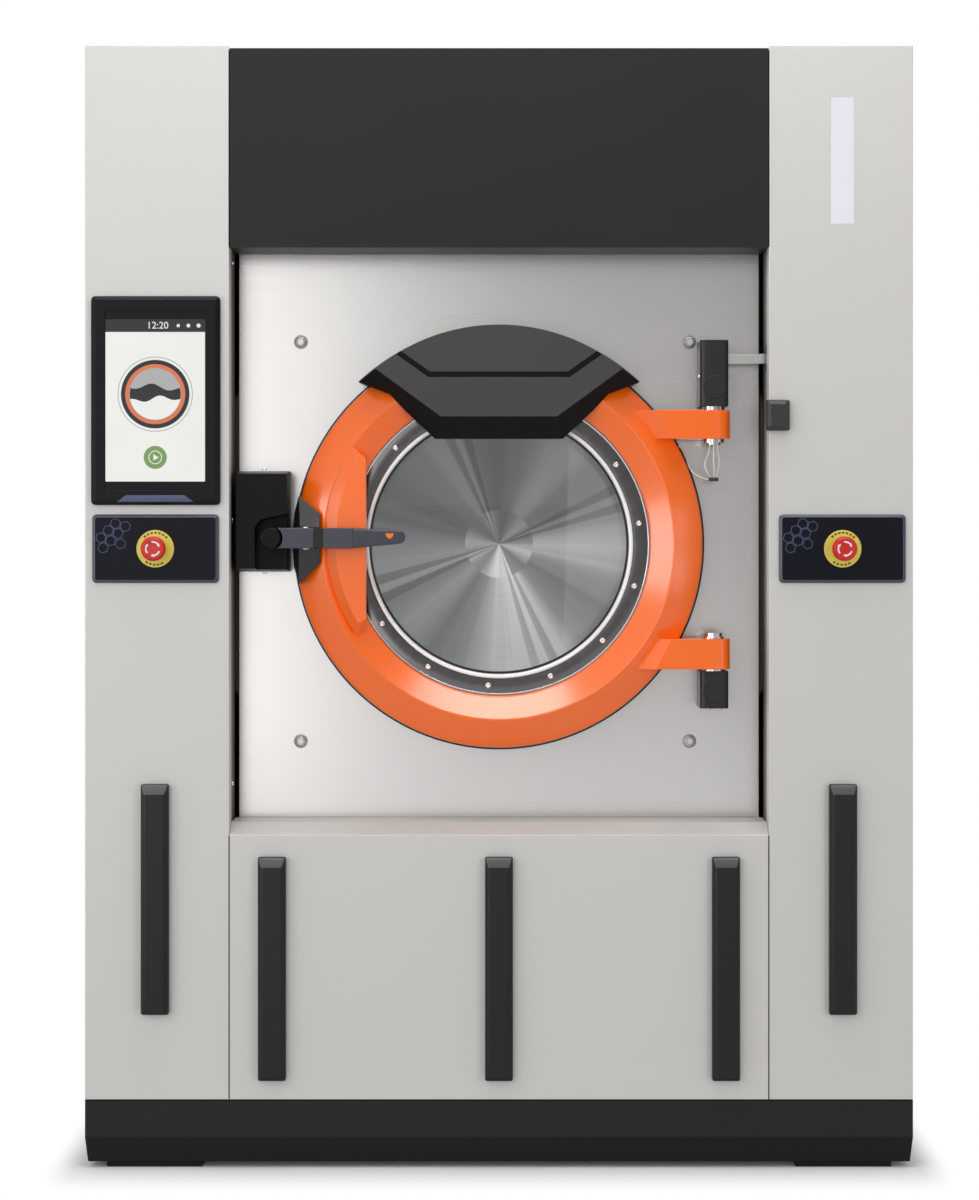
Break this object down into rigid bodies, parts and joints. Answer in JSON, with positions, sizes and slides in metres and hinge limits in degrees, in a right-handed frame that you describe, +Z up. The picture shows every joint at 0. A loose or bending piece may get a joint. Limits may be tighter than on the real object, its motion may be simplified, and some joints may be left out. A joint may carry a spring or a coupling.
{
  "type": "washer-extractor",
  "caption": "Front-loading industrial washer-extractor: steel cabinet with front columns, suspended tub and drum, round hinged glass door, lever latch and emergency stops.",
  "frame": {"origin": "on the floor under the middle of the cabinet", "axes": "+Z up, the front faces -Y, +X to the right as seen from the front"},
  "size_m": [1.35, 1.392, 1.83],
  "materials": {
    "brushed_stainless": "satin",
    "dark_fascia": "matte",
    "plinth_black": "satin",
    "frame_grey": "satin",
    "black_plastic": "matte",
    "slate_metal": "satin",
    "door_orange": "gloss",
    "polished_steel": "polished",
    "door_glass": "gloss",
    "display_glass": "gloss",
    "control_black": "satin",
    "stop_red": "satin",
    "legend_yellow": "satin",
    "lamp_white": "matte",
    "black_rubber": "matte",
    "cast_housing": "matte",
    "motor_paint": "satin",
    "zinc_steel": "satin",
    "wire_sleeve": "matte"
  },
  "bodies": {
    "cabinet": {"base_rails": "frame_grey", "foot_pads": "black_rubber", "plinth_skirts": "plinth_black", "upper_frame": "frame_grey", "left_column": "brushed_stainless", "right_column": "brushed_stainless", "recess_cheeks": "brushed_stainless", "header_fascia": "dark_fascia", "lower_panel": "brushed_stainless", "side_panels": "brushed_stainless", "rear_panel": "brushed_stainless", "top_cover": "brushed_stainless", "control_housing": "control_black", "control_display": "display_glass", "stop_plates": "control_black", "stop_collars": "legend_yellow", "status_light": "lamp_white", "cart_bumpers": "black_plastic", "door_stop": "black_rubber", "water_valves": "black_plastic", "inverter_box": "frame_grey", "damper_tubes": "zinc_steel"},
    "tub_unit": {"front_plate": "brushed_stainless", "plate_bolts": "zinc_steel", "outer_tub": "brushed_stainless", "drain_sump": "brushed_stainless", "bearing_housing": "cast_housing", "bearings_and_seal": "zinc_steel", "motor_housing": "motor_paint", "cradle": "frame_grey", "damper_rods": "zinc_steel", "air_springs": "black_rubber", "door_gasket": "black_rubber", "hinge_blocks": "black_plastic", "hinge_pins": "polished_steel", "sensor_conduit": "brushed_stainless", "lock_box": "black_plastic", "drive_belts": "black_rubber"},
    "door": {"door_rim": "plinth_black", "door_ring": "door_orange", "door_retainer": "polished_steel", "retainer_screws": "polished_steel", "door_glass": "door_glass", "door_cap": "black_plastic", "pull_plate": "door_orange", "latch_bracket": "black_plastic", "hinge_arms": "door_orange", "hinge_wires": "wire_sleeve"},
    "latch": {"latch_lever": "slate_metal", "lever_grip": "slate_metal"},
    "drum": {"drum_shell": "brushed_stainless", "drum_back": "brushed_stainless", "drum_lifters": "brushed_stainless", "drum_shaft": "zinc_steel", "drum_pulley": "cast_housing"},
    "rotor": {"motor_rotor": "zinc_steel"},
    "left_stop_plunger": {"left_stop_stem": "zinc_steel"},
    "left_stop_button": {"left_stop_head": "stop_red"},
    "right_stop_plunger": {"right_stop_stem": "zinc_steel"},
    "right_stop_button": {"right_stop_head": "stop_red"}
  },
  "joints": [
    {"name": "tub_suspension", "type": "slide", "parent": "cabinet", "child": "tub_unit", "axis": [0, 0, 1], "range_m": [-0.008, 0.008], "stiffness_N_per_m": 236110, "springref_m": 0.02761, "deforming": ["air_springs"]},
    {"name": "door_hinge", "type": "hinge", "parent": "tub_unit", "child": "door", "pos_m": [0.354, -0.59, 1.017], "axis": [0, 0, 1], "range_deg": [0, 125]},
    {"name": "latch_pivot", "type": "hinge", "parent": "door", "child": "latch", "pos_m": [-0.315, -0.646, 1.027], "axis": [0, 0, -1], "range_deg": [0, 35], "stiffness_Nm_per_rad": 1},
    {"name": "drum_spin", "type": "hinge", "parent": "tub_unit", "child": "drum", "pos_m": [0, 0, 1.017], "axis": [0, 1, 0], "continuous": true},
    {"name": "motor_spin", "type": "hinge", "parent": "tub_unit", "child": "rotor", "pos_m": [0, 0, 0.54], "axis": [0, 1, 0], "continuous": true},
    {"name": "left_stop_push", "type": "slide", "parent": "cabinet", "child": "left_stop_plunger", "axis": [0, 1, 0], "range_m": [0, 0.005]},
    {"name": "left_stop_twist", "type": "hinge", "parent": "left_stop_plunger", "child": "left_stop_button", "pos_m": [-0.5595, -0.68, 1.0098], "axis": [0, 1, 0], "range_deg": [0, 45], "stiffness_Nm_per_rad": 0.05},
    {"name": "right_stop_push", "type": "slide", "parent": "cabinet", "child": "right_stop_plunger", "axis": [0, 1, 0], "range_m": [0, 0.005]},
    {"name": "right_stop_twist", "type": "hinge", "parent": "right_stop_plunger", "child": "right_stop_button", "pos_m": [0.5595, -0.68, 1.0098], "axis": [0, 1, 0], "range_deg": [0, 45], "stiffness_Nm_per_rad": 0.05}
  ],
  "couplings": [
    {"joint": "motor_spin", "follows": "drum_spin", "ratio": 3.4667}
  ]
}
